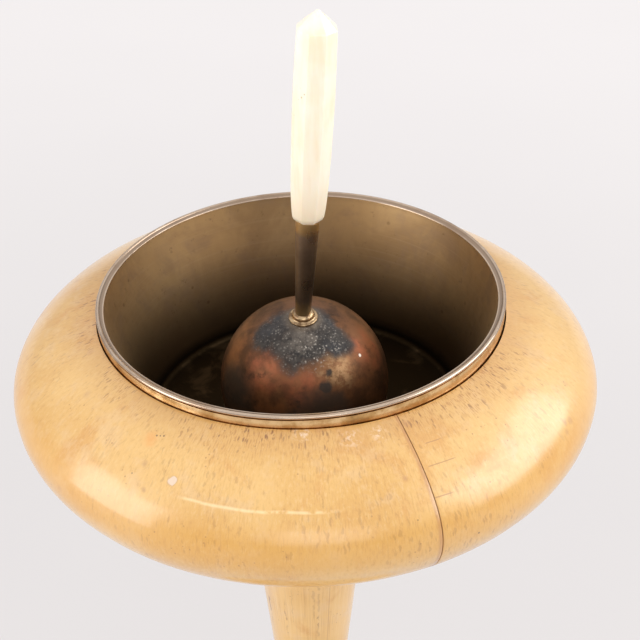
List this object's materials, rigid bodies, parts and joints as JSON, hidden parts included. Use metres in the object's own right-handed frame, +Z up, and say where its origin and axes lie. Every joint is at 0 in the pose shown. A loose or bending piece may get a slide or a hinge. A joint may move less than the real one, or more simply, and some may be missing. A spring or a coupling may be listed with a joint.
{
  "type": "floor-standing ashtray",
  "caption": "Free-standing floor ashtray: rounded parchment-covered head on a slim stem and disc base, lift-out metal bowl, ball-shaped drain valve with a faceted handle.",
  "frame": {"origin": "on the floor at the stem's axis, the centre of the felt pad's underside", "axes": "+Z up along the stem, -Y towards the viewer's side, +X to the viewer's right"},
  "size_m": [0.28, 0.28, 0.6552],
  "materials": {
    "parchment": "golden amber lacquered parchment, glossy, with fine radial hair grain",
    "turned_wood": "bare turned wood",
    "felt": "dark green felt",
    "ballast_iron": "rough cast",
    "steel_hardware": "plain zinc plated steel",
    "pan_brass": "spun, dull and stained",
    "bowl_brass": "satin bronze brown, tarnished, with a polished flat lip",
    "rim_brass": "polished",
    "ball_copper": "red brown, sooty and ash stained",
    "spindle_dark": "dark gunmetal",
    "cream_resin": "cream resin, semi gloss, with small brown specks"
  },
  "bodies": {
    "stand": {"base_felt_pad": "felt", "base_wood_core": "turned_wood", "base_parchment_right": "parchment", "base_parchment_left": "parchment", "base_ballast_disc": "ballast_iron", "ballast_screws": "steel_hardware", "stem_wood_core": "turned_wood", "stem_parchment": "parchment", "tie_rod": "steel_hardware", "base_washer": "steel_hardware", "base_nut": "steel_hardware", "clamp_washer": "steel_hardware", "clamp_nut": "steel_hardware", "head_wood_lower": "turned_wood", "head_wood_upper": "turned_wood", "head_parchment_right": "parchment", "head_parchment_left": "parchment"},
    "ash_pan": {"ash_pan": "pan_brass"},
    "bowl": {"bowl_shell": "bowl_brass", "bowl_rim_band": "rim_brass", "drain_seat_ring": "rim_brass"},
    "valve": {"ball_upper_shell": "ball_copper", "ball_lower_shell": "ball_copper", "spindle_flange": "rim_brass", "spindle": "spindle_dark", "spindle_washer": "steel_hardware", "spindle_nut": "steel_hardware", "handle": "cream_resin", "handle_insert": "rim_brass"}
  },
  "joints": [
    {"name": "pan_lift", "type": "slide", "parent": "stand", "child": "ash_pan", "axis": [0, 0, 1], "range_m": [0, 0.09]},
    {"name": "bowl_lift", "type": "slide", "parent": "ash_pan", "child": "bowl", "axis": [0, 0, 1], "range_m": [0, 0.09]},
    {"name": "valve_lift", "type": "slide", "parent": "bowl", "child": "valve", "axis": [0, 0, 1], "range_m": [0, 0.1]}
  ]
}
